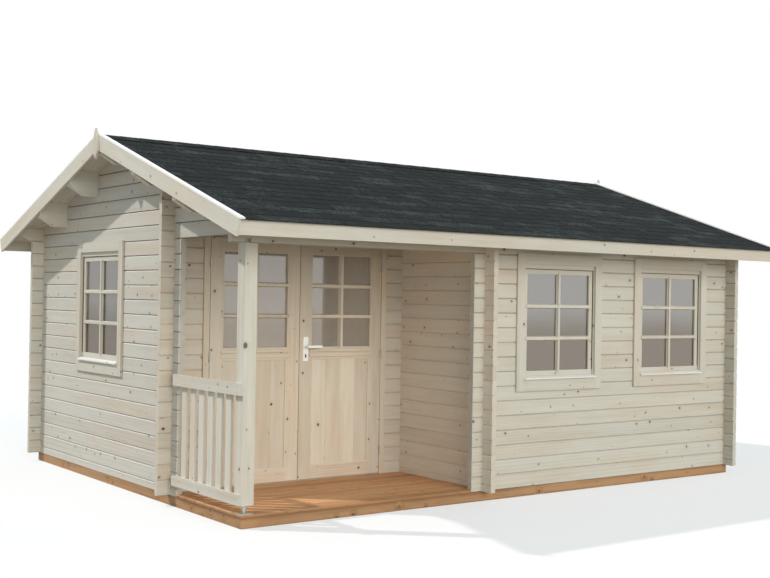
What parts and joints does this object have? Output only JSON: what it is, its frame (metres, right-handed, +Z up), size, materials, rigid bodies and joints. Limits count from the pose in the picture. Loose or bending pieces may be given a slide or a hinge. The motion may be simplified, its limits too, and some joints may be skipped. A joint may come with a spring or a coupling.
{
  "type": "log cabin garden shed",
  "caption": "Pale timber log cabin with a low gable roof, a railed corner porch on a post and outward opening glazed double doors",
  "frame": {"origin": "on the ground in the middle of the plan, under the ridge", "axes": "+X along the ridge to the right as seen from the front, +Y to the back, +Z up"},
  "size_m": [5.616, 4.5974, 2.8321],
  "materials": {
    "log_timber": "planed untreated softwood logs with knots",
    "trim_timber": "planed untreated softwood boards",
    "structural_timber": "planed untreated softwood",
    "door_timber": "planed untreated softwood joinery",
    "treated_timber": "brown pressure treated softwood",
    "deck_timber": "brown pressure treated deck boards",
    "floor_timber": "planed tongue and groove floor boards",
    "roof_shingle": "granular bitumen shingle",
    "window_glass": "clear float glass",
    "zinc_steel": "zinc plated steel",
    "lever_metal": "satin anodised"
  },
  "bodies": {
    "cabin": {"front_wall_lower": "log_timber", "front_wall_piers": "log_timber", "front_beam": "log_timber", "back_wall": "log_timber", "eaves_logs": "log_timber", "left_wall_lower": "log_timber", "left_wall_piers": "log_timber", "left_gable": "log_timber", "right_wall": "log_timber", "right_gable": "log_timber", "porch_side_wall": "log_timber", "door_wall_piers": "log_timber", "over_door_logs": "log_timber", "front_window_trims": "trim_timber", "front_window_frames": "trim_timber", "gable_window_trim": "trim_timber", "gable_window_frame": "trim_timber", "door_frame": "trim_timber", "door_trim": "trim_timber", "barge_boards": "trim_timber", "verge_caps": "trim_timber", "eaves_fascias": "trim_timber", "finials": "trim_timber", "purlins": "structural_timber", "roof_boards": "structural_timber", "porch_post": "structural_timber", "porch_railing": "structural_timber", "base_bearers": "treated_timber", "floor_joists": "treated_timber", "porch_deck": "deck_timber", "room_floor": "floor_timber", "roof_covering": "roof_shingle", "front_window_glass": "window_glass", "gable_window_glass": "window_glass", "hinge_pins": "zinc_steel", "post_foot": "zinc_steel"},
    "left_door": {"left_door_leaf": "door_timber", "left_door_glass": "window_glass", "left_door_hinges": "zinc_steel"},
    "right_door": {"right_door_leaf": "door_timber", "right_door_glass": "window_glass", "right_door_hinges": "zinc_steel", "lock_plates": "lever_metal"},
    "lever": {"door_lever": "lever_metal"}
  },
  "joints": [
    {"name": "left_door_swing", "type": "hinge", "parent": "cabin", "child": "left_door", "pos_m": [-2.233, -0.871, 1], "axis": [0, 0, -1], "range_deg": [0, 90]},
    {"name": "right_door_swing", "type": "hinge", "parent": "cabin", "child": "right_door", "pos_m": [-0.653, -0.871, 1], "axis": [0, 0, 1], "range_deg": [0, 90]},
    {"name": "lever_turn", "type": "hinge", "parent": "right_door", "child": "lever", "pos_m": [-1.3845, -0.845, 1.15], "axis": [0, 1, 0], "range_deg": [0, 40], "stiffness_Nm_per_rad": 1.5, "springref_deg": -20.05}
  ]
}
